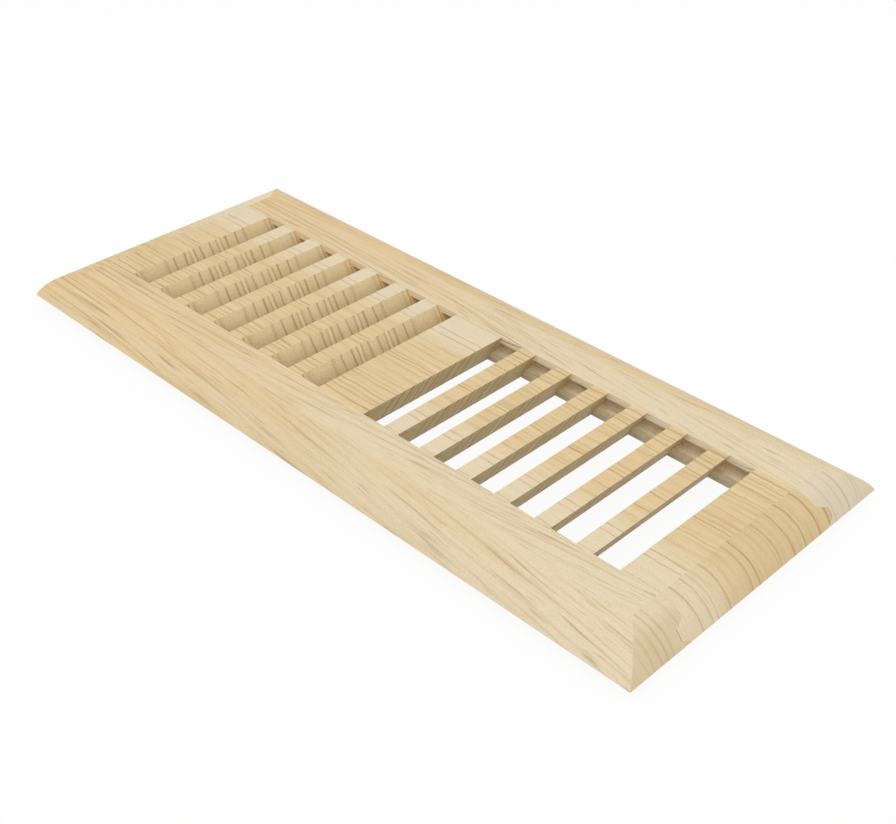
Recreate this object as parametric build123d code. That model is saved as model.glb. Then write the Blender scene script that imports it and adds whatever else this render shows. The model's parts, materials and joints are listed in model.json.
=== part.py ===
from build123d import *

import math
import os

# Drop-in wooden floor register with two opposed banks of fixed louvres.
# Two side rails run the full length. A tapered groove along each one's inner face takes the tongues on
# the ends of the end rails, the centre bar and the slats. The rim rests on the floor round a duct
# opening, and the body under the rim drops into the opening.
# Millimetres, X along the register, Y across it, Z up, origin under the middle of the body.

# Duct opening, 4 by 12 inches, and how the register sits in it
opening_length = 304.8
opening_width = 101.6
opening_clearance = 1.6
body_drop = 5.2
end_lap = 19.05
side_lap = 20.65

# Rim
rim_thickness = 10.3
side_round_width = 18.7
end_round_width = 15.3

# Rails, bar and slats, measured on top unless named otherwise
side_rail_width = 32.55
end_rail_width = 31.6
centre_bar_foot = 8.3
slat_thickness = 6.7
slat_angle = 60.0
slots_per_bank = 7

# Tapered groove in the side rails, and the tongues that fit it
lip_thickness = 3.2
groove_depth = 5.2
groove_upper_taper = 1.6
groove_lower_taper = 2.2
lower_wall_setback = 0.8
glue_gap = 0.2

# Outer sizes and heights
length = opening_length + 2 * end_lap
width = opening_width + 2 * side_lap
half_length = length / 2
half_width = width / 2
half_body_length = opening_length / 2 - opening_clearance
half_body_width = opening_width / 2 - opening_clearance
rim_z = body_drop
top_z = body_drop + rim_thickness

# Louvre field: each slanted face leans by lean_run over the full height
half_field_width = half_width - side_rail_width
half_field_length = half_length - end_rail_width
lean_run = top_z / math.tan(math.radians(slat_angle))
slat_top_width = slat_thickness / math.sin(math.radians(slat_angle))
half_bar_foot = centre_bar_foot / 2
half_bar_top = half_bar_foot + lean_run
slats_per_bank = slots_per_bank - 1
slot_width = (half_field_length - half_bar_top - slats_per_bank * slat_top_width) / slots_per_bank
pitch = slot_width + slat_top_width


def round_over(edge, round_width, side):
    """Arc from the rim's sharp lower edge up to its flat top, tangent to the top, on the + or - side."""
    half_sweep = math.atan2(rim_thickness, round_width)
    radius = rim_thickness / (1 - math.cos(2 * half_sweep))
    tangent_x = edge - round_width
    middle_x = tangent_x + radius * math.sin(half_sweep)
    middle_z = top_z - radius * (1 - math.cos(half_sweep))
    return ThreePointArc(
        (side * edge, rim_z),
        (side * middle_x, middle_z),
        (side * tangent_x, top_z),
    )


def frame_section(half_outer, round_width, half_body):
    """Outline of the rim over the drop-in body, seen along one horizontal axis."""
    half_flat = half_outer - round_width
    outline = Polyline(
        (-half_outer, rim_z),
        (-half_body, rim_z),
        (-half_body, 0),
        (half_body, 0),
        (half_body, rim_z),
        (half_outer, rim_z),
    )
    outline += round_over(half_outer, round_width, 1)
    outline += Line((half_flat, top_z), (-half_flat, top_z))
    outline += round_over(half_outer, round_width, -1)
    return make_face(outline)


def frame_envelope():
    """The frame's outer form, with the four round-overs mitred where they meet."""
    across = frame_section(half_width, side_round_width, half_body_width)
    along = frame_section(half_length, end_round_width, half_body_length)
    lengthwise = extrude(Plane.YZ * across, amount=half_length, both=True)
    crosswise = extrude(Plane.XZ * along, amount=half_width, both=True)
    return lengthwise & crosswise


def joint_outline(reach):
    """Points down the joint on the +Y side, with the tongue or groove cut off at the given reach."""
    upper_root = top_z - lip_thickness
    upper_tip = upper_root - groove_upper_taper * reach / groove_depth
    lower_share = (reach - lower_wall_setback) / (groove_depth - lower_wall_setback)
    lower_tip = rim_z + groove_lower_taper * lower_share
    return [
        (half_field_width, top_z),
        (half_field_width, upper_root),
        (half_field_width + reach, upper_tip),
        (half_field_width + reach, lower_tip),
        (half_field_width + lower_wall_setback, rim_z),
        (half_field_width + lower_wall_setback, 0),
    ]


def field_solid(reach):
    """The space between the side rails over the whole length, with tongues of the given reach."""
    far_side = joint_outline(reach)
    near_side = [(-y, z) for y, z in reversed(far_side)]
    section = make_face(Polyline(*far_side, *near_side, close=True))
    return extrude(Plane.YZ * section, amount=half_length, both=True)


def side_rail(side):
    """Full-length rail on the +Y or -Y side: the frame beyond the louvre field, grooved along it."""
    half_frame = Pos(0, side * half_width / 2, top_z / 2) * Box(length, half_width, top_z)
    return (frame_envelope() & half_frame) - field_solid(groove_depth)


def cross_bar(top_start, top_end, foot_start, foot_end):
    """Bar between the side rails with the given edges in X at its top and foot, tongued at both ends."""
    section = make_face(
        Polyline((top_start, top_z), (top_end, top_z), (foot_end, 0), (foot_start, 0), close=True)
    )
    blank = extrude(Plane.XZ * section, amount=half_width, both=True)
    return blank & field_solid(groove_depth - glue_gap)


def end_rail(side):
    """Rail across one end. Its inner face slants like the slats, so that it is wider at the foot."""
    inner = side * half_field_length
    outer = side * half_length
    bar = cross_bar(inner, outer, inner - side * lean_run, outer)
    return bar & frame_envelope()


def slat(side, number):
    """Slat with this number, counted from the centre bar. Its foot leans towards the bar."""
    outer = side * (half_bar_top + number * pitch)
    inner = outer - side * slat_top_width
    return cross_bar(inner, outer, inner - side * lean_run, outer - side * lean_run)


def centre_bar():
    """Bar between the two banks, narrower at the foot, so that its faces slant like the slats."""
    return cross_bar(-half_bar_top, half_bar_top, -half_bar_foot, half_bar_foot)


nodes = {
    "front_side_rail": side_rail(-1),
    "rear_side_rail": side_rail(1),
    "left_end_rail": end_rail(-1),
    "right_end_rail": end_rail(1),
    "centre_bar": centre_bar(),
}
for bank, side in (("left", -1), ("right", 1)):
    for number in range(1, slats_per_bank + 1):
        nodes[f"{bank}_slat_{number}"] = slat(side, number)

os.makedirs("parts", exist_ok=True)
for name, solid in nodes.items():
    export_step(solid, f"parts/{name}.step")

print(f"overall {length:.2f} x {width:.2f} x {top_z:.2f} mm")
print(f"slot {slot_width:.2f} mm, pitch {pitch:.2f} mm, bar top {2 * half_bar_top:.2f} mm")
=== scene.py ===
# %% [markdown]
# A wooden floor register
#
# This register drops into a duct opening in a floor. Two long side rails hold two end rails, a centre
# bar and two banks of slanted slats, all tongued into grooves along the rails. The solid model gives
# every piece its exact size and place, so this lesson is about the finish: easing the corners the way
# sandpaper does, and growing a believable pale timber on each piece. We start by loading that model.

# %% Load the packed model
import json
import math
from functools import reduce
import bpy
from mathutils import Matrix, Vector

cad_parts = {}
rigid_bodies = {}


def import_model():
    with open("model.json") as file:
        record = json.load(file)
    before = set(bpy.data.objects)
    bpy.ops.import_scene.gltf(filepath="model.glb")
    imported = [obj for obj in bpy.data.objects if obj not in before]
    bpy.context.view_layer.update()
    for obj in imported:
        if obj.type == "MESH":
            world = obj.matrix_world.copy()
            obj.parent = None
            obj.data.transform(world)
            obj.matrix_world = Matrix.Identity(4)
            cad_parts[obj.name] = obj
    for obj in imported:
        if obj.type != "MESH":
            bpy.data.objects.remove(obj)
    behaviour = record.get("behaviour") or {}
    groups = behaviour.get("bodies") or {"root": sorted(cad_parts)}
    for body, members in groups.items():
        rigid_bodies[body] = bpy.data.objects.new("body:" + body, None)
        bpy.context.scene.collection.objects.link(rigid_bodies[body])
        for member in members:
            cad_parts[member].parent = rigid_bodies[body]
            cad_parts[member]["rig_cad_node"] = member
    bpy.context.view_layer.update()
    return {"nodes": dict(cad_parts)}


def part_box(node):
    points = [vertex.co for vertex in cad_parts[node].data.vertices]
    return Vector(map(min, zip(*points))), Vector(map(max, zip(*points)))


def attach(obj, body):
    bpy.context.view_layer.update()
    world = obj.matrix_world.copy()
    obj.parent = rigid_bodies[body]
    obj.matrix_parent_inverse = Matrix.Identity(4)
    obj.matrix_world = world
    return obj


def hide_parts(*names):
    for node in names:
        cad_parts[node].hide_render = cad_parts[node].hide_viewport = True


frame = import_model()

from types import SimpleNamespace
from typing import NamedTuple

import bpy

print("pieces of timber:", len(frame["nodes"]))

# %% [markdown]
# Grain is measured in millimetres, so we read the few sizes that the timber patterns need from the
# model itself. A rail's inner edge says where the louvre field begins, and its outer corner gives the
# half length and half width. Only the round-overs are written down, because a box can't tell us
# where a curve starts. Each one is an arc that leaves the flat top without a kink, so its width and its
# drop together give its radius.

# %% Read the sizes that the grain follows
MM = 0.001
ROUND_DROP = 10.3
END_ROUND = 15.3
SIDE_ROUND = 18.7
rail_low, rail_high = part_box("rear_side_rail")
half_length = rail_high.x / MM
half_width = rail_high.y / MM
half_field = rail_low.y / MM
top_height = rail_high.z / MM
end_shoulder = half_length - END_ROUND
side_shoulder = half_width - SIDE_ROUND
rim_height = top_height - ROUND_DROP


def arc_radius(round_width):
    """Radius of an arc that leaves the flat top and falls by the drop over this width."""
    return (round_width**2 + ROUND_DROP**2) / (2 * ROUND_DROP)


print(f"half length {half_length:.2f} mm, half field {half_field:.2f} mm, top {top_height:.2f} mm")
print(f"radius at the sides {arc_radius(SIDE_ROUND):.2f} mm, at the ends {arc_radius(END_ROUND):.2f} mm")

# %% [markdown]
# The model's own meshes have to stay as they are, so every piece of timber starts as a copy of one. Such
# a mesh is loose triangles, and a bevel needs whole faces and real corners. Rebuilding each piece from a
# cube would only repeat the model's work, so we merge the copy's points instead, and dissolve the edges
# that cross its flat faces.

# %% Copy a piece and clean its mesh
MERGE_DISTANCE = 0.002 * MM
FLAT_ANGLE = math.radians(0.4)


def clean_copy(node_name):
    """Copy one piece of the model and join its loose triangles into whole faces."""
    bpy.ops.object.select_all(action="DESELECT")
    node = frame["nodes"][node_name]
    node.select_set(True)
    bpy.context.view_layer.objects.active = node
    bpy.ops.object.duplicate()
    piece = bpy.context.view_layer.objects.active
    del piece["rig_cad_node"]
    piece.name = node_name + "_timber"
    bpy.ops.object.mode_set(mode="EDIT")
    bpy.ops.mesh.select_all(action="SELECT")
    bpy.ops.mesh.customdata_custom_splitnormals_clear()
    bpy.ops.mesh.remove_doubles(threshold=MERGE_DISTANCE)
    bpy.ops.mesh.dissolve_limited(angle_limit=FLAT_ANGLE)
    bpy.ops.object.mode_set(mode="OBJECT")
    return piece


print(f"points within {MERGE_DISTANCE / MM:.3f} mm of each other will be merged")

# %% [markdown]
# Timber straight from a saw has knife-sharp corners, but a sanded register has none: each corner is
# eased by a tenth or two of a millimetre, and that thin line of light is what makes an edge look made.
# A bevel on edges chosen by their angle eases the real corners and leaves the rounded rim alone. The
# line where the slats meet the rails is left out, because the register is sanded flush there after it
# is glued. Weighted normals then keep the flats looking flat.

# %% Ease the corners of a piece
EASED_EDGE = 0.12 * MM
EASED_STEPS = 2
CORNER_ANGLE = math.radians(25)
SMOOTH_ANGLE = math.radians(12)
JOINT_TOLERANCE = 0.02


def on_flush_joint(point):
    """True on the top line where the cross pieces meet a side rail and were sanded flush with it."""
    off_line = abs(abs(point.y) / MM - half_field)
    below_top = top_height - point.z / MM
    return off_line < JOINT_TOLERANCE and below_top < JOINT_TOLERANCE


def ease_corners(piece):
    """Bevel a piece's real corners and shade its round-overs smoothly."""
    bpy.ops.object.mode_set(mode="EDIT")
    bpy.ops.mesh.select_mode(type="EDGE")
    bpy.ops.mesh.select_all(action="DESELECT")
    bpy.ops.mesh.edges_select_sharp(sharpness=CORNER_ANGLE)
    bpy.ops.object.mode_set(mode="OBJECT")
    for edge in piece.data.edges:
        ends = [piece.data.vertices[i].co for i in edge.vertices]
        if all(on_flush_joint(end) for end in ends):
            edge.select = False
    bpy.ops.object.mode_set(mode="EDIT")
    bpy.ops.mesh.bevel(offset=EASED_EDGE, segments=EASED_STEPS, affect="EDGES")
    bpy.ops.object.mode_set(mode="OBJECT")
    bpy.ops.object.shade_smooth_by_angle(angle=SMOOTH_ANGLE)
    weighted = piece.modifiers.new("flat flats", "WEIGHTED_NORMAL")
    weighted.keep_sharp = True
    bpy.ops.object.modifier_apply(modifier=weighted.name)


print(f"corners will be eased by {EASED_EDGE / MM:.2f} mm")

# %% [markdown]
# Now we make the seventeen pieces. Nothing on the register moves, so they all ride on its one body. Each
# stands for the node that it was copied from. The slats repeat, but each is copied from its own node,
# because then it already lies where it belongs.

# %% Make every piece


def timber_piece(node_name):
    """One finished piece, standing for its node."""
    piece = clean_copy(node_name)
    ease_corners(piece)
    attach(piece, "root")
    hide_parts(node_name)
    return piece


side_rails = ["front_side_rail", "rear_side_rail"]
left_slats = sorted(name for name in frame["nodes"] if name.startswith("left_slat"))
right_slats = sorted(name for name in frame["nodes"] if name.startswith("right_slat"))
rail_pieces = [timber_piece(name) for name in side_rails]
left_end = timber_piece("left_end_rail")
right_end = timber_piece("right_end_rail")
bar_piece = timber_piece("centre_bar")
left_pieces = [timber_piece(name) for name in left_slats]
right_pieces = [timber_piece(name) for name in right_slats]
for piece in (rail_pieces[0], right_end, bar_piece, left_pieces[0]):
    print(piece.name, "faces:", len(piece.data.polygons))

# %% [markdown]
# A timber is a long sum of small patterns, and wiring Math nodes by hand hides the sum. So one small
# class wraps a socket: adding or multiplying two of them adds the Math node for us, and one method makes
# any other node from its type, its settings and its inputs. The recipes below then read like formulas.

# %% A socket that can be used in a formula
MIX_SHARE = 0
MIX_FIRST = 6
MIX_SECOND = 7
MIX_COLOUR = 2


class Mark(NamedTuple):
    """Dark marks along the grain: size in mm, layer of noise, and the noise where they start and peak."""

    length: float
    width: float
    layer: float
    start: float
    full: float
    strength: float = 1.0


class Grain:
    """A value running through a material's nodes, usable in Python arithmetic."""

    def __init__(self, tree, socket=None):
        self.tree = tree
        self.socket = socket

    def node(self, kind, settings=None, inputs=None, output=0):
        """Add a node: first its settings, then its sockets' values or links."""
        made = self.tree.nodes.new(kind)
        for name, value in (settings or {}).items():
            setattr(made, name, value)
        for name, value in (inputs or {}).items():
            if isinstance(value, Grain):
                self.tree.links.new(value.socket, made.inputs[name])
            else:
                made.inputs[name].default_value = value
        return Grain(self.tree, made.outputs[output] if made.outputs else None)

    def math(self, operation, first, second=0.0):
        return self.node("ShaderNodeMath", {"operation": operation}, {0: first, 1: second})

    def __add__(self, other):
        return self.math("ADD", self, other)

    def __radd__(self, other):
        return self.math("ADD", other, self)

    def __sub__(self, other):
        return self.math("SUBTRACT", self, other)

    def __rsub__(self, other):
        return self.math("SUBTRACT", other, self)

    def __mul__(self, other):
        return self.math("MULTIPLY", self, other)

    def __rmul__(self, other):
        return self.math("MULTIPLY", other, self)

    def __truediv__(self, other):
        return self.math("DIVIDE", self, other)

    def __rtruediv__(self, other):
        return self.math("DIVIDE", other, self)

    def __gt__(self, other):
        return self.math("GREATER_THAN", self, other)

    def __abs__(self):
        return self.math("ABSOLUTE", self)

    def root(self):
        return self.math("SQRT", self)

    def largest(self, other):
        return self.math("MAXIMUM", self, other)

    def ease(self, low, high, peak=1.0):
        """0 at low, peak at high and a smooth step between. Low may be above high.

        The fades that are named below list these numbers in this order.
        """
        return self.node(
            "ShaderNodeMapRange",
            {"interpolation_type": "SMOOTHSTEP"},
            {"Value": self, "From Min": low, "From Max": high, "To Max": peak},
        )

    def noise(self, x, y, z, detail):
        """Soft noise from 0 to 1 on coordinates given in units of its own grain."""
        point = self.node("ShaderNodeCombineXYZ", None, {"X": x, "Y": y, "Z": z})
        return self.node(
            "ShaderNodeTexNoise",
            {"noise_dimensions": "3D"},
            {"Vector": point, "Scale": 1.0, "Detail": detail, "Roughness": 0.5},
        )

    def fibres(self, along, across, size, layer, detail=2.0):
        """Noise stretched to this length and width in mm. Other layers hold other patterns."""
        length, width = size
        return self.noise(along / length, across / width, layer, detail)

    def specks(self, at, size):
        """Round specks of this size in mm."""
        return self.noise(at.x / size, at.y / size, at.z / size, detail=1.0)

    def marks(self, along, across, layer, mark):
        """Dark marks of one kind, from 0 to their strength."""
        noise = self.fibres(along, across, (mark.length, mark.width), layer + mark.layer, detail=1.0)
        return noise.ease(mark.start, mark.full, mark.strength)

    def blend(self, first, second, share):
        """Mix two colours by a share from 0 to 1."""
        return self.node(
            "ShaderNodeMix",
            {"data_type": "RGBA", "clamp_factor": True},
            {MIX_SHARE: share, MIX_FIRST: first, MIX_SECOND: second},
            output=MIX_COLOUR,
        )

    def layered(self, base, layers):
        """Lay tints over a base colour, first to last, each by its own share."""
        return reduce(lambda colour, layer: self.blend(colour, *layer), layers, base)


def empty_nodes(owner):
    """Clear the nodes of a material or a world, ready for formulas."""
    owner.use_nodes = True
    owner.node_tree.nodes.clear()
    return Grain(owner.node_tree)


print("beside arithmetic, a formula has:", [name for name in vars(Grain) if not name.startswith("__")])

# %% [markdown]
# Every timber here starts the same way. A point's place comes from Object coordinates in millimetres, so
# a pattern runs on unbroken from the top of a piece down its sides, as it does through solid wood. The
# normal tells us which way a surface faces. Growth lines that stand out one by one on the real pieces
# are listed, and all the others will come from noise.

# %% Start a timber
WHITE_LEVEL = 255


def srgb(red, green, blue):
    """A colour as a screen shows it, 0 to 255, as the linear colour that a node takes."""
    linear = []
    for value in (red, green, blue):
        share = value / WHITE_LEVEL
        linear.append(((share + 0.055) / 1.055) ** 2.4 if share > 0.04045 else share / 12.92)
    return (*linear, 1.0)


def new_timber(name):
    """An empty material, with each point's place in millimetres and the way its surface faces."""
    material = bpy.data.materials.new(name)
    grain = empty_nodes(material)
    here = grain.node("ShaderNodeTexCoord", output="Object")
    facing = grain.node("ShaderNodeTexCoord", output="Normal")
    place = grain.node("ShaderNodeVectorMath", {"operation": "SCALE"}, {"Vector": here, "Scale": 1 / MM})
    x, y, z = (grain.node("ShaderNodeSeparateXYZ", None, {0: place}, axis) for axis in "XYZ")
    nx, ny, nz = (grain.node("ShaderNodeSeparateXYZ", None, {0: facing}, axis) for axis in "XYZ")
    return material, grain, SimpleNamespace(x=x, y=y, z=z, nx=nx, ny=ny, nz=nz)


def arc_drop(distance, shoulder, round_width):
    """How far below the flat top a round-over lies, at this distance from the middle."""
    radius = arc_radius(round_width)
    past = (distance - shoulder).largest(0.0)
    return radius - (radius**2 - past * past).largest(0.0).root()


def growth_lines(place, lines):
    """Dark lines, each listed as its middle and half width in mm and its strength."""
    bands = [abs(place - middle).ease(width, 0.0, strength) for middle, width, strength in lines]
    return reduce(Grain.largest, bands)


print("mid grey as a node takes it:", round(srgb(128, 128, 128)[0], 3))

# %% [markdown]
# Bare sanded wood is matt, so the shader is mostly rough colour with a weak shine. Its open pores and
# late wood are a little rougher than the rest and lie a little lower, and a bump far too small to model
# makes the light catch on them.

# %% Finish a timber
BARE_ROUGHNESS = 0.6
PORE_ROUGHNESS = 0.15
FIBRE_RELIEF = 0.4
RELIEF_DEPTH = 0.04 * MM
RELIEF_STRENGTH = 0.3
WOOD_SHINE = 0.25


def finish_timber(grain, colour, dark, fibre):
    """Join a colour to a matt wood shader, with the dark grain rougher and lower."""
    relief = grain.node(
        "ShaderNodeBump",
        None,
        {"Strength": RELIEF_STRENGTH, "Distance": RELIEF_DEPTH, "Height": FIBRE_RELIEF * fibre - dark},
    )
    shader = grain.node(
        "ShaderNodeBsdfPrincipled",
        None,
        {
            "Base Color": colour,
            "Roughness": BARE_ROUGHNESS + PORE_ROUGHNESS * dark,
            "Normal": relief,
            "Specular IOR Level": WOOD_SHINE,
        },
    )
    grain.node("ShaderNodeOutputMaterial", None, {"Surface": shader})


def dress(pieces, timber):
    """Give pieces this timber alone."""
    for piece in pieces:
        piece.data.materials.clear()
        piece.data.materials.append(timber)


print(f"roughness from {BARE_ROUGHNESS} to {BARE_ROUGHNESS + PORE_ROUGHNESS}")

# %% [markdown]
# A side rail is one board, but a planed top, a rounded end and a milled groove don't look alike, so we
# first mark out the rail's parts. They could be separate materials, but then every face would need one,
# and the mitre where two round-overs meet runs across faces. A mask from the place and the normal is
# simpler: the mitre, for example, is where the end's arc lies lower than the side's.

# %% Mark out the parts of a side rail
LIP_THICKNESS = 3.2
WALL_FADE = (1.5, 1.0)
GROOVE_FADE = (6.0, 5.7)
UNDERSIDE_LIMIT = -0.5
WALL_LIMIT = 0.7


def rail_parts(at):
    """Masks, 1 inside and 0 outside, and the drop of the end's round-over."""
    end_drop = arc_drop(abs(at.x), end_shoulder, END_ROUND)
    side_drop = arc_drop(abs(at.y), side_shoulder, SIDE_ROUND)
    on_end = (end_drop > side_drop) * (at.nz > UNDERSIDE_LIMIT)
    behind_field = abs(at.y) - half_field
    inner_wall = behind_field.ease(*WALL_FADE) * (abs(at.ny) > WALL_LIMIT)
    above_groove = at.z > top_height - LIP_THICKNESS
    lip = inner_wall * above_groove
    groove = behind_field.ease(*GROOVE_FADE) * (1 - above_groove) * (at.z > rim_height)
    return SimpleNamespace(
        rear=at.y > 0.0,
        end_drop=end_drop,
        on_end=on_end,
        right_end=on_end * (at.x > 0.0),
        inner_wall=inner_wall,
        lip=lip,
        lower_wall=inner_wall - lip,
        groove=groove * (1 - (abs(at.x) > end_shoulder)),
    )


print(f"the lip starts {top_height - LIP_THICKNESS:.1f} mm above the rail's foot, over the groove")

# %% [markdown]
# The side rails are flat-sawn, with their grain along the length. Their growth lines open into a long
# narrow V towards the right, with the heart of the V about where the rim starts to round, and the V
# opens slowly at first and then evenly. Drawing such lines one by one would look drawn. Instead we bend
# the coordinate that the noise is read on: the distance from the heart line, less a spread that grows
# along the rail. Noise stretched along the board then follows the V by itself. A little wave keeps the
# lines from being straight, and each rail, each arm of the V and each end reads another layer of noise.

# %% The course of the grain along a side rail
HEART_LINE = 53.2
HEART_SOFTNESS = 1.0
V_SLOPE = 0.14
V_START = 300.0
LEFT_PACE = 0.6
PACE_LENGTH = 900.0
ROUND_DRIFT = 0.3
WALL_DRIFT = 0.6
REAR_LAYER = 19.0
END_LAYER = 5.0
ARM_LAYER = 1.2
ARM_SOFTNESS = 6.0
WAVE = 2.2
WAVE_SIZE = (48.0, 9.0)
MIDDLE_FROM = (0.45, 0.95)
MIDDLE_TO = (1.9, 1.0)
ROUND_FADE = (0.0, 4.0)


def rail_course(grain, at, part):
    """How far along and across the grain a point lies, and the layers of noise that it reads.

    The share is 0 at the rail's left end, 1 halfway and 2 at its right end.
    """
    along = at.x + half_length
    run = along * (LEFT_PACE + along / PACE_LENGTH)
    drift = (ROUND_DRIFT + WALL_DRIFT * part.inner_wall) * (top_height - at.z)
    across = abs(at.y) + drift - HEART_LINE
    rail_layer = REAR_LAYER * part.rear
    arm_layer = ARM_LAYER * across / (across * across + ARM_SOFTNESS).root()
    layer = arm_layer + rail_layer + END_LAYER * part.on_end
    spread = V_SLOPE * along * along / (along + V_START)
    bend = (across * across + HEART_SOFTNESS).root() - spread
    bend = bend + WAVE * grain.fibres(run, across, WAVE_SIZE, layer)
    share = along / half_length
    middle = share.ease(*MIDDLE_FROM) * share.ease(*MIDDLE_TO) * across.ease(*ROUND_FADE)
    return SimpleNamespace(
        run=run,
        across=across,
        bend=bend,
        layer=layer,
        rail_layer=rail_layer,
        share=share,
        middle=middle,
        busy=middle * (2 * part.rear - 1),
    )


right_spread = V_SLOPE * (2 * half_length) ** 2 / (2 * half_length + V_START)
print(f"the V is {2 * right_spread:.0f} mm wide at the right end")

# %% [markdown]
# The dark marks on the rails are open pores, which a saw cuts into short dashes: long and short ones on
# the arms of the V, and their own along its heart. They are where stretched noise rises above a limit.
# On the front rail they fade towards the right, and its round-over is calm about the middle, where the
# rear rail's is busy. At the right end the growth lines come out across the round-over and curve with
# it. There are few of them, so those are listed, counted in millimetres from the register's middle.

# %% Pores and end lines of a side rail
LONG_DASH = Mark(40.0, 1.2, layer=3.0, start=0.58, full=0.78)
SHORT_DASH = Mark(19.0, 0.95, layer=13.0, start=0.59, full=0.79, strength=0.85)
HEART_DASH = Mark(25.0, 1.05, layer=31.0, start=0.58, full=0.79, strength=0.85)
ARM_FADE = (0.5, 5.0)
FRONT_PORES = 1.2
FRONT_FADING = 0.2
REAR_CALM = 0.25
BUSY_PORES = 0.4
END_CALM = 0.3
RIGHT_END_CALM = 0.6
END_WAVER = 0.8
END_WAVER_SIZE = (12.0, 9.0)
END_WAVER_LAYER = 3.0
FRONT_END_LINES = [
    (42.3, 0.9, 0.3),
    (49.2, 0.9, 0.4),
    (52.2, 0.9, 0.5),
    (55.3, 1.0, 0.3),
    (59.0, 1.0, 0.3),
]
REAR_END_LINES = [
    (45.5, 0.8, 0.4),
    (50.8, 0.8, 0.3),
    (54.4, 0.7, 0.6),
    (62.5, 0.9, 0.2),
]


def rail_pores(grain, at, part, course):
    """Dark marks of a side rail, from 0 to about 1."""
    on_arm = abs(course.across).ease(*ARM_FADE)
    long_dash = grain.marks(course.run, course.bend, course.layer, LONG_DASH)
    short_dash = grain.marks(course.run, course.bend, course.layer, SHORT_DASH)
    heart_dash = grain.marks(course.run, course.across, course.rail_layer, HEART_DASH)
    pores = (long_dash.largest(short_dash) * on_arm).largest(heart_dash * (1 - on_arm))
    rear_calm = REAR_CALM * part.rear
    strength = FRONT_PORES - rear_calm - (FRONT_FADING - rear_calm) * course.share
    strength = strength + BUSY_PORES * course.busy
    pores = pores * (1 - END_CALM * part.on_end) * strength
    wobble = grain.fibres(at.x, at.y, END_WAVER_SIZE, END_WAVER_LAYER)
    place = abs(at.y) + END_WAVER * wobble - END_WAVER / 2
    front_lines = growth_lines(place, FRONT_END_LINES) * (1 - part.rear)
    rear_lines = growth_lines(place, REAR_END_LINES) * part.rear
    end_lines = (front_lines + rear_lines) * part.right_end
    return pores * (1 - RIGHT_END_CALM * part.right_end) + end_lines


print("listed end lines, front and rear:", len(FRONT_END_LINES), len(REAR_END_LINES))

# %% [markdown]
# Under the pores the board pales slowly from honey at the left to cream at the right, with a slow change
# of tone and a browner stretch beyond the heart of the V. Over that lie soft streaks, both lighter and
# darker than the board, thin growth lines, fine fibres and specks. They are all layers of tint, so each
# is a colour and a share, and the list reads from the wood outwards.

# %% Colour of a side rail's board
HONEY = srgb(233, 205, 157)
CREAM = srgb(235, 218, 186)
PALE = srgb(238, 224, 196)
TAN = srgb(192, 162, 110)
TONE_SIZE = (110.0, 14.0)
TONE = 0.7
BROWN_FROM = (-1.0, 3.0)
BROWN_TO = (13.0, 9.0)
FRONT_BROWN = 0.18
REAR_BROWN = 0.22
PALING_FADE = (0.25, 1.3)
MIDDLE_TAN = 0.09
STREAK_SIZE = (60.0, 2.1)
LIGHT_STREAK = (0.5, 0.28, 0.25)
DARK_STREAK = (0.5, 0.72, 0.4)
STREAK_FADING = 0.325
BUSY_STREAKS = 0.25
GROWTH = Mark(100.0, 1.4, layer=23.0, start=0.55, full=0.75, strength=0.5)
GROWTH_FADING = 0.2
BUSY_GROWTH = 0.3
DARK_FIBRE = (0.5, 0.8, 0.2)
SPECK_SIZE = 0.6
SPECKS = (0.4, 0.75, 0.2)


def rail_paling(grain, part, course):
    """How far the board has paled from honey to cream."""
    tone = grain.fibres(course.run, course.bend, TONE_SIZE, course.rail_layer, detail=1.0)
    brown = course.across.ease(*BROWN_FROM) * course.across.ease(*BROWN_TO)
    brown = (FRONT_BROWN + REAR_BROWN * part.rear) * brown
    return (course.share / 2 + TONE * tone - brown).ease(*PALING_FADE)


def rail_board(grain, at, course, paling, fibre):
    """Colour of the board itself."""
    streak = grain.fibres(course.run, course.bend, STREAK_SIZE, course.layer)
    streak_share = 1 - STREAK_FADING * course.share + BUSY_STREAKS * course.busy
    growth = grain.marks(course.run, course.bend, course.layer, GROWTH)
    growth_share = 1 - GROWTH_FADING * course.share + BUSY_GROWTH * course.busy
    on_arm = abs(course.across).ease(*ARM_FADE)
    return grain.layered(
        grain.blend(HONEY, CREAM, paling),
        [
            (TAN, MIDDLE_TAN * course.middle),
            (PALE, streak.ease(*LIGHT_STREAK)),
            (TAN, streak.ease(*DARK_STREAK) * streak_share),
            (TAN, growth * growth_share * on_arm),
            (TAN, fibre.ease(*DARK_FIBRE)),
            (TAN, grain.specks(at, SPECK_SIZE).ease(*SPECKS)),
        ],
    )


print(f"paling from honey to cream lifts the blue from {HONEY[2]:.2f} to {CREAM[2]:.2f}")
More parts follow.
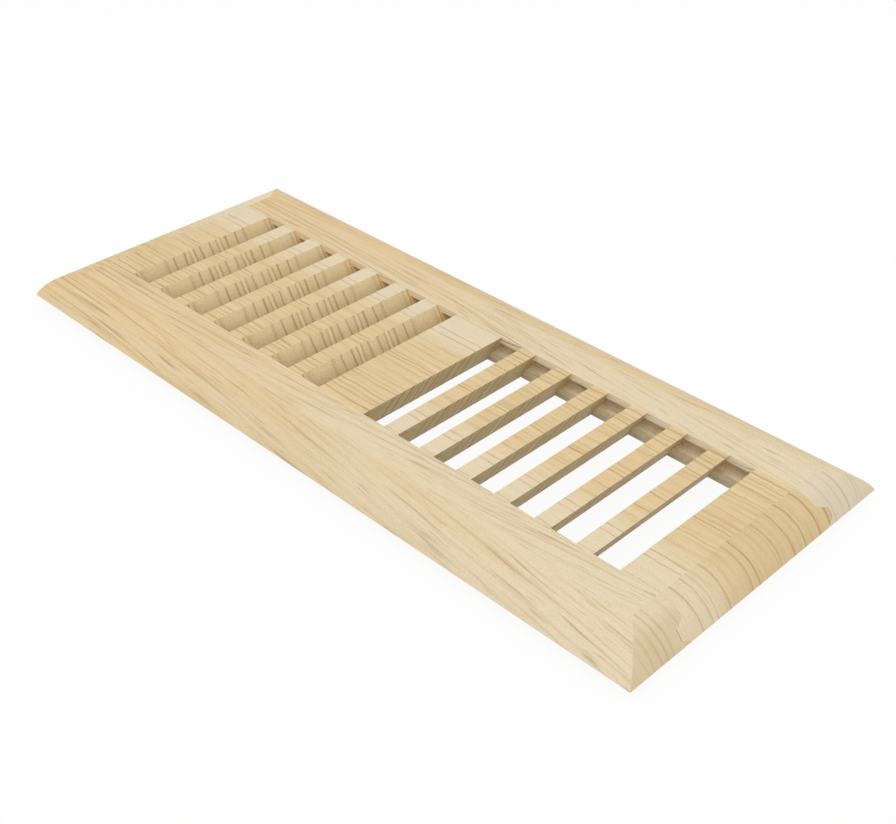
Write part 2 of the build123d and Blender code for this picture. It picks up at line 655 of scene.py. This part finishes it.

# %% [markdown]
# Where a rail is cut across, at its rounded ends, its colour changes. The rear rail's ends are pale, and
# the right ends show open end grain, ash on the rear rail and tan on the front one, deeper where the
# curve turns down. The milled lip is paler wood, made paler still with painted light against the shade of
# its hollow. The groove and the wall under it get a painted light cream, speckled below the lip by the
# cutter, and the wall's foot gets a painted grey shade. These tints go over the board, and the pores over
# everything.

# %% Timber of the side rails
PORE = srgb(156, 126, 78)
END_GRAIN = srgb(203, 179, 136)
ASH = srgb(221, 206, 179)
LIP_GOLDEN_AND_PAINTED_LIGHT = srgb(254, 226, 178)
CREAM_PAINTED_LIGHT = srgb(254, 241, 214)
WALL_FOOT_PAINTED_SHADE = srgb(170, 170, 165)
RAIL_FIBRE_SIZE = (7.0, 0.5)
REAR_END_PALE = 0.85
FRONT_END_SHARE = 0.12
REAR_END_GAIN = 0.48
END_TURN = (0.0, 2.5, 0.36)
LOWER_WALL_PAINTED_LIGHT = 0.88
LIP_PAINTED_LIGHT_SHARE = 0.97
CUTTER_SPECKS = (0.45, 0.75, 0.25)
WALL_FOOT_SHADE_FADE = (2.6, 2.0, 0.3)
PORE_SHARE = 0.56


def rail_ends_and_walls(grain, at, part, board, paling):
    """Tints of the rounded ends, and painted light and shade on the lip, the groove and the wall under
    it.
    """
    end_share = FRONT_END_SHARE + REAR_END_GAIN * part.rear + part.end_drop.ease(*END_TURN)
    cutter_specks = grain.specks(at, SPECK_SIZE).ease(*CUTTER_SPECKS)
    return grain.layered(
        board,
        [
            (PALE, REAR_END_PALE * part.on_end * part.rear),
            (grain.blend(END_GRAIN, ASH, part.rear), part.right_end * end_share),
            # painted light: cream lightens the wall under the lip and the groove against the shade in
            # that hollow
            (CREAM_PAINTED_LIGHT, (LOWER_WALL_PAINTED_LIGHT * part.lower_wall).largest(part.groove)),
            (PORE, cutter_specks * part.lower_wall.largest(part.groove)),
            # the lip: paler wood, partly painted light against the shade of its hollow
            (grain.blend(LIP_GOLDEN_AND_PAINTED_LIGHT, CREAM_PAINTED_LIGHT, paling), LIP_PAINTED_LIGHT_SHARE * part.lip),
            # painted shade: a grey darkens the foot of the inner wall
            (WALL_FOOT_PAINTED_SHADE, part.inner_wall * at.z.ease(*WALL_FOOT_SHADE_FADE)),
        ],
    )


def side_rail_timber():
    """The whole recipe: parts, course of the grain, pores and colours."""
    material, grain, at = new_timber("side_rail_timber")
    part = rail_parts(at)
    course = rail_course(grain, at, part)
    pores = rail_pores(grain, at, part, course)
    fibre = grain.fibres(course.run, course.bend, RAIL_FIBRE_SIZE, course.layer)
    paling = rail_paling(grain, part, course)
    board = rail_board(grain, at, course, paling, fibre)
    colour = rail_ends_and_walls(grain, at, part, board, paling)
    finish_timber(grain, grain.blend(colour, PORE, PORE_SHARE * pores), pores, fibre)
    return material


rail_timber = side_rail_timber()
dress(rail_pieces, rail_timber)
print("nodes in the side rails' timber:", len(rail_timber.node_tree.nodes))

# %% [markdown]
# The end rails, centre bar and slats were all cut across one kind of board, so their growth lines cross
# them: each line runs along the register's length and stays at one place across it. One end of each
# piece is pale sapwood. The lines' places are few, so they are listed, counted in millimetres
# from the pale end. The slanted faces cut through the rings and show them even about the middle, so
# their lines are counted from there, and the rounded ends have lines of their own.

# %% Growth lines of the cross pieces
TOP_LINES = [
    (0.8, 0.6, 0.4),
    (12.2, 0.55, 0.7),
    (15.7, 0.55, 0.75),
    (23.9, 1.0, 0.25),
    (31.0, 0.9, 0.4),
    (39.9, 0.6, 0.8),
    (41.9, 0.6, 0.45),
    (44.8, 1.4, 0.25),
    (49.5, 0.8, 0.25),
    (55.6, 1.3, 0.3),
    (58.4, 0.6, 0.4),
    (60.5, 0.6, 0.65),
    (66.2, 0.7, 0.75),
    (68.9, 0.7, 0.5),
    (71.1, 0.7, 0.6),
    (74.9, 0.8, 0.75),
]
ROUND_LINES = [
    (5.0, 0.7, 0.6),
    (10.6, 0.7, 0.5),
    (13.8, 0.7, 0.4),
    (20.6, 0.9, 0.45),
    (33.1, 0.9, 0.5),
    (37.1, 0.7, 0.95),
    (50.2, 0.9, 0.5),
    (58.1, 0.7, 0.85),
    (65.0, 0.7, 0.85),
    (74.0, 0.9, 0.85),
    (80.6, 0.9, 0.95),
]
RING_LINES = [
    (2.6, 0.85, 0.8),
    (6.35, 0.8, 0.7),
    (8.85, 0.8, 0.65),
    (11.8, 1.0, 0.95),
    (17.45, 0.8, 0.95),
    (22.3, 1.6, 0.45),
    (35.4, 1.6, 0.35),
    (37.8, 0.6, 0.95),
]
print("listed lines, on top, rounds and slants:", len(TOP_LINES), len(ROUND_LINES), len(RING_LINES))

# %% [markdown]
# As on the rails, masks mark out the parts: the rounded ends, the slanted faces, and which of those look
# up. The lines shouldn't be ruled straight, so the two coordinates that they are counted on, the distance
# from the pale end and the distance from the middle of the rings, wander a little with noise.

# %% Mark out the parts of a cross piece
SLANT_LIMIT = 0.5
PALE_FADE = (30.0, 11.0)
CORNER_FADE = (0.4, 0.1)
LINE_WANDER = 1.7
LINE_WANDER_SIZE = (11.0, 9.0)
LINE_WANDER_LAYER = 2.0
RING_MIDDLE = 0.1
RING_WANDER = 1.2
RING_WANDER_SIZE = (6.0, 5.0)
RING_WANDER_DEPTH = 40.0


def cross_parts(grain, at, pale_side):
    """Masks, 1 inside and 0 outside, and the coordinates that the growth lines are counted on."""
    depth = top_height - at.z
    from_pale = half_field - pale_side * at.y
    on_round = (abs(at.x) > end_shoulder) * (at.nz > UNDERSIDE_LIMIT)
    right_round = on_round * (at.x > 0.0)
    on_slant = (abs(at.nx) > SLANT_LIMIT) * (1 - on_round)
    upper_face = on_slant * (at.nz > 0.0)
    line_noise = grain.fibres(at.x, from_pale, LINE_WANDER_SIZE, LINE_WANDER_LAYER)
    ring_noise = grain.fibres(depth, at.y, RING_WANDER_SIZE, at.x / RING_WANDER_DEPTH)
    return SimpleNamespace(
        depth=depth,
        from_pale=from_pale,
        on_round=on_round,
        right_round=right_round,
        left_round=on_round - right_round,
        on_slant=on_slant,
        upper_face=upper_face,
        undercut=on_slant - upper_face,
        on_top=(1 - on_slant) * (1 - on_round),
        pale=from_pale.ease(*PALE_FADE) * (1 - on_slant),
        front_corner=(at.y + half_field).ease(*CORNER_FADE) * upper_face,
        wander=from_pale + LINE_WANDER * line_noise - LINE_WANDER / 2,
        ring=abs(at.y - RING_MIDDLE) + RING_WANDER * ring_noise - RING_WANDER / 2,
    )


print(f"sapwood fades out {PALE_FADE[0]:.0f} mm from the pale end")

# %% [markdown]
# Each part takes the lines of its own list. Real late wood is feathered, never evenly dark, so one more
# noise makes each line fade and return along its length. The front corner of the upper faces, where the
# slat enters its groove, is a dark line too.

# %% Dark lines of a cross piece
LEFT_ROUND_SHARE = 0.4
FEATHER_SIZE = (6.0, 1.2)
FEATHER_LAYER = 5.0
FEATHER_LEAST = 0.15
FEATHER_RISE = 1.6


def cross_lines(grain, at, part):
    """Dark lines of a cross piece, from 0 to about 1."""
    on_rounds = part.right_round + LEFT_ROUND_SHARE * part.left_round
    lines = growth_lines(part.wander, TOP_LINES) * part.on_top
    lines = lines + growth_lines(part.ring, RING_LINES) * part.on_slant
    lines = lines + growth_lines(part.wander, ROUND_LINES) * on_rounds
    feather = grain.fibres(at.x, part.wander, FEATHER_SIZE, FEATHER_LAYER)
    return (lines * (FEATHER_LEAST + FEATHER_RISE * feather)).largest(part.front_corner)


print(f"feathering can run from {FEATHER_LEAST:.2f} to {FEATHER_LEAST + FEATHER_RISE:.2f}")

# %% [markdown]
# The wood between the lines is golden, and pale at one end, with a pink blush where the sapwood begins.
# Streaks and fibres lie over it as on the rails, less on the sapwood and on the slanted faces. The
# rounded right end is deeper in colour, as end grain is, and the left one is lighter towards the back.

# %% Colour of a cross piece's board
GOLDEN = srgb(230, 204, 156)
BLUSH = srgb(240, 216, 187)
CROSS_STREAK_SIZE = (34.0, 1.7)
CROSS_STREAK_LAYER = 8.0
CROSS_STREAK_DEPTH = 30.0
LIGHT_CROSS_STREAK = (0.5, 0.28, 0.4)
DARK_CROSS_STREAK = (0.5, 0.74, 0.45)
SAPWOOD_CALM = 0.7
SLANT_CALM = 0.6
BLUSH_SHARE = 0.3
CROSS_FIBRE = (0.5, 0.8, 0.25)
ROUND_FIBRE_GAIN = 0.8
RIGHT_ROUND_SHARE = 0.28
RIGHT_ROUND_TURN = (1.0, 8.0, 0.14)
SAPWOOD_END_CALM = 0.5
LEFT_ROUND_PALE = (-12.0, 10.0, 0.32)


def cross_board(grain, at, part, fibre, blush):
    """Colour of the wood between the lines."""
    streak_layer = CROSS_STREAK_LAYER + part.depth / CROSS_STREAK_DEPTH
    streak = grain.fibres(at.x, part.wander, CROSS_STREAK_SIZE, streak_layer, detail=3.0)
    streak_share = (1 - SAPWOOD_CALM * part.pale) * (1 - SLANT_CALM * part.on_slant)
    end_share = (RIGHT_ROUND_SHARE + part.depth.ease(*RIGHT_ROUND_TURN)) * part.right_round
    return grain.layered(
        grain.blend(GOLDEN, CREAM, part.pale),
        [
            (BLUSH, BLUSH_SHARE * blush),
            (PALE, streak.ease(*LIGHT_CROSS_STREAK)),
            (TAN, streak.ease(*DARK_CROSS_STREAK) * streak_share),
            (TAN, fibre.ease(*CROSS_FIBRE) * (1 + ROUND_FIBRE_GAIN * part.on_round)),
            (END_GRAIN, end_share * (1 - SAPWOOD_END_CALM * part.pale)),
            (PALE, at.y.ease(*LEFT_ROUND_PALE) * part.left_round),
        ],
    )


print(f"blue in golden wood {GOLDEN[2]:.2f}, in sapwood {CREAM[2]:.2f}, in the blush {BLUSH[2]:.2f}")

# %% [markdown]
# A slanted face is nearly end grain. The upper faces get painted light, a lighter honey, and painted
# shade that turns them browner towards the foot and towards the front end. The undercuts get a cooler,
# paler painted tint for the light bounced up from the floor. The heart of the rings and one ring on each
# side of it are bright early wood, a warm strip lies next to each side rail, and cut pores show as fine
# specks, some dark and some light.

# %% Colour of the slanted faces
FACE_PAINTED_LIGHT = srgb(246, 222, 174)
FACE_PAINTED_SHADE = srgb(180, 155, 112)
UNDERCUT_PAINTED_LIGHT = srgb(233, 238, 206)
BRIGHT = srgb(250, 232, 188)
WARM = srgb(240, 202, 146)
LINE = srgb(158, 124, 72)
FACE_PAINTED_LIGHT_SHARE = 0.6
FACE_FOOT_PAINTED_SHADE = (1.0, 10.0, 0.55)
FRONT_PAINTED_SHADE_FADE = (-30.0, -35.0, 0.18)
UNDERCUT_SHARE = 0.33
BRIGHT_RING = 7.7
BRIGHT_WIDTH = 1.0
BRIGHT_HEART = (1.8, 1.0, 0.5)
BRIGHT_SHARE = 0.75
WARM_STRIP = (38.2, 38.5, 0.7)
END_PORE_SIZE = 0.4
DARK_END_PORE = (0.5, 0.72, 0.28)
LIGHT_END_PORE = (0.5, 0.28, 0.38)


def slanted_faces(grain, at, part, board):
    """Tints of the slanted faces, with painted light and shade, over the board's colour."""
    bright_ring = abs(part.ring - BRIGHT_RING).ease(BRIGHT_WIDTH, 0.0)
    bright = bright_ring.largest(part.ring.ease(*BRIGHT_HEART)) * part.on_slant
    end_pore = grain.specks(at, END_PORE_SIZE)
    return grain.layered(
        board,
        [
            # painted light: the upper faces are a lighter honey
            (FACE_PAINTED_LIGHT, FACE_PAINTED_LIGHT_SHARE * part.upper_face),
            # painted shade: the upper faces turn browner towards the foot
            (FACE_PAINTED_SHADE, part.depth.ease(*FACE_FOOT_PAINTED_SHADE) * part.upper_face),
            # painted shade: the upper faces turn browner towards the front rail
            (FACE_PAINTED_SHADE, at.y.ease(*FRONT_PAINTED_SHADE_FADE) * part.upper_face),
            # painted light: a cool pale tint on the undercuts for light bounced up from the floor
            (UNDERCUT_PAINTED_LIGHT, UNDERCUT_SHARE * part.undercut),
            (BRIGHT, BRIGHT_SHARE * bright),
            (WARM, part.ring.ease(*WARM_STRIP) * part.upper_face),
            (TAN, grain.specks(at, SPECK_SIZE).ease(*SPECKS)),
            (LINE, end_pore.ease(*DARK_END_PORE) * part.on_slant),
            (PALE, end_pore.ease(*LIGHT_END_PORE) * part.on_slant),
        ],
    )


print(f"cut pores are about {END_PORE_SIZE} mm across, the other specks {SPECK_SIZE} mm")

# %% [markdown]
# The lines go over everything, redder on the blush. The right-hand pieces have their pale end at the
# front and the left-hand ones at the back, as if each bank had been cut from one board and one of the
# two turned round, so one recipe makes both timbers.

# %% Timber of the end rails, centre bar and slats
RED_LINE = srgb(170, 134, 92)
BLUSH_MIDDLE = 13.8
BLUSH_FADE = (4.5, 1.0)
CROSS_FIBRE_SIZE = (6.0, 0.45)
CROSS_FIBRE_LAYER = 11.0
CROSS_FIBRE_DEPTH = 6.0
LINE_SHARE = 0.65


def cross_timber(name, pale_side):
    """The whole recipe, with the pale end on the -Y or +Y side."""
    material, grain, at = new_timber(name)
    part = cross_parts(grain, at, pale_side)
    lines = cross_lines(grain, at, part)
    fibre_layer = CROSS_FIBRE_LAYER + part.depth / CROSS_FIBRE_DEPTH
    fibre = grain.fibres(at.x, part.wander, CROSS_FIBRE_SIZE, fibre_layer)
    blush = abs(part.from_pale - BLUSH_MIDDLE).ease(*BLUSH_FADE) * part.on_top
    board = cross_board(grain, at, part, fibre, blush)
    colour = slanted_faces(grain, at, part, board)
    line_colour = grain.blend(LINE, RED_LINE, blush)
    finish_timber(grain, grain.blend(colour, line_colour, LINE_SHARE * lines), lines, fibre)
    return material


front_pale = cross_timber("cross_timber_front_pale", -1)
rear_pale = cross_timber("cross_timber_rear_pale", 1)
dress([right_end, *right_pieces], front_pale)
dress([left_end, bar_piece, *left_pieces], rear_pale)
print("nodes in a cross timber:", len(front_pale.node_tree.nodes))

# %% [markdown]
# The register stands on a plain pale floor. Seen by the camera, most of the floor's brightness is its
# own white, so that the background stays clean, but a share of it is still real reflected light, so the
# register keeps a soft shadow and light bounces back up between the slats.

# %% Floor
FLOOR_SIZE = 6.0
FLOOR_DROP = 0.3 * MM
FLOOR_WHITE = 0.93
WHITE = (1.0, 1.0, 1.0, 1.0)
CHALK = (0.9, 0.9, 0.9, 1.0)


def seen_directly(wire):
    """1 for what the camera sees, also by reflection or through glass, and 0 for light on the timber."""
    rays = ("Is Camera Ray", "Is Glossy Ray", "Is Transmission Ray")
    return reduce(Grain.largest, [wire.node("ShaderNodeLightPath", output=ray) for ray in rays])


bpy.ops.object.select_all(action="DESELECT")
bpy.ops.mesh.primitive_plane_add(size=FLOOR_SIZE, location=(0.0, 0.0, -FLOOR_DROP))
floor = bpy.context.object
floor.name = "floor"
bpy.ops.object.transform_apply(location=True)
floor_finish = bpy.data.materials.new("floor_white")
wire = empty_nodes(floor_finish)
chalk = wire.node("ShaderNodeBsdfDiffuse", None, {"Color": CHALK})
glow = wire.node("ShaderNodeEmission", None, {"Color": WHITE, "Strength": 1.0})
mixed = wire.node("ShaderNodeMixShader", None, {0: FLOOR_WHITE * seen_directly(wire), 1: chalk, 2: glow})
wire.node("ShaderNodeOutputMaterial", None, {"Surface": mixed})
floor.data.materials.append(floor_finish)
print("floor laid", FLOOR_SIZE, "m across")

# %% [markdown]
# Soft studio light: a bright, even surround does most of the work, because the rims and the tops of the
# real piece are almost equally light, and one large lamp above the front gives the forms a direction.
# The surround is plain white where the camera sees it, and a little dimmer where it lights the wood.

# %% Light
SURROUND = 0.72
KEY_PLACE = (0.62, -0.64, 2.08)
KEY_SIZE = 1.8
KEY_POWER = 15.8
world = bpy.data.worlds.new("studio")
bpy.context.scene.world = world
wire = empty_nodes(world)
level = SURROUND + (1.0 - SURROUND) * seen_directly(wire)
sky = wire.node("ShaderNodeBackground", None, {"Color": WHITE, "Strength": level})
wire.node("ShaderNodeOutputWorld", None, {"Surface": sky})

bpy.ops.object.light_add(type="AREA", location=KEY_PLACE)
key = bpy.context.object
key.name = "key_light"
key.data.size = KEY_SIZE
key.data.energy = KEY_POWER
key.rotation_euler = (-key.location).to_track_quat("-Z", "Y").to_euler()

# %% [markdown]
# The camera looks almost along the classic isometric direction, 45 degrees round and about 35 degrees
# down, with a slightly long lens, so that the register's long sides close in gently towards the back.

# %% Camera
VIEW_PLACE = (0.34608, -0.32568, 0.32722)
VIEW_TILT = math.radians(54.649)
VIEW_ROLL = math.radians(0.037)
VIEW_TURN = math.radians(45.0)
SENSOR_WIDTH = 36.0
LENS = 56.209
bpy.ops.object.select_all(action="DESELECT")
bpy.ops.object.camera_add(location=VIEW_PLACE, rotation=(VIEW_TILT, VIEW_ROLL, VIEW_TURN))
camera = bpy.context.object
camera.name = "camera"
camera.data.sensor_fit = "HORIZONTAL"
camera.data.sensor_width = SENSOR_WIDTH
camera.data.lens = LENS
bpy.context.scene.camera = camera
bpy.context.scene.view_settings.view_transform = "Standard"
print("camera set with a lens of", LENS, "mm")

# %% [markdown]
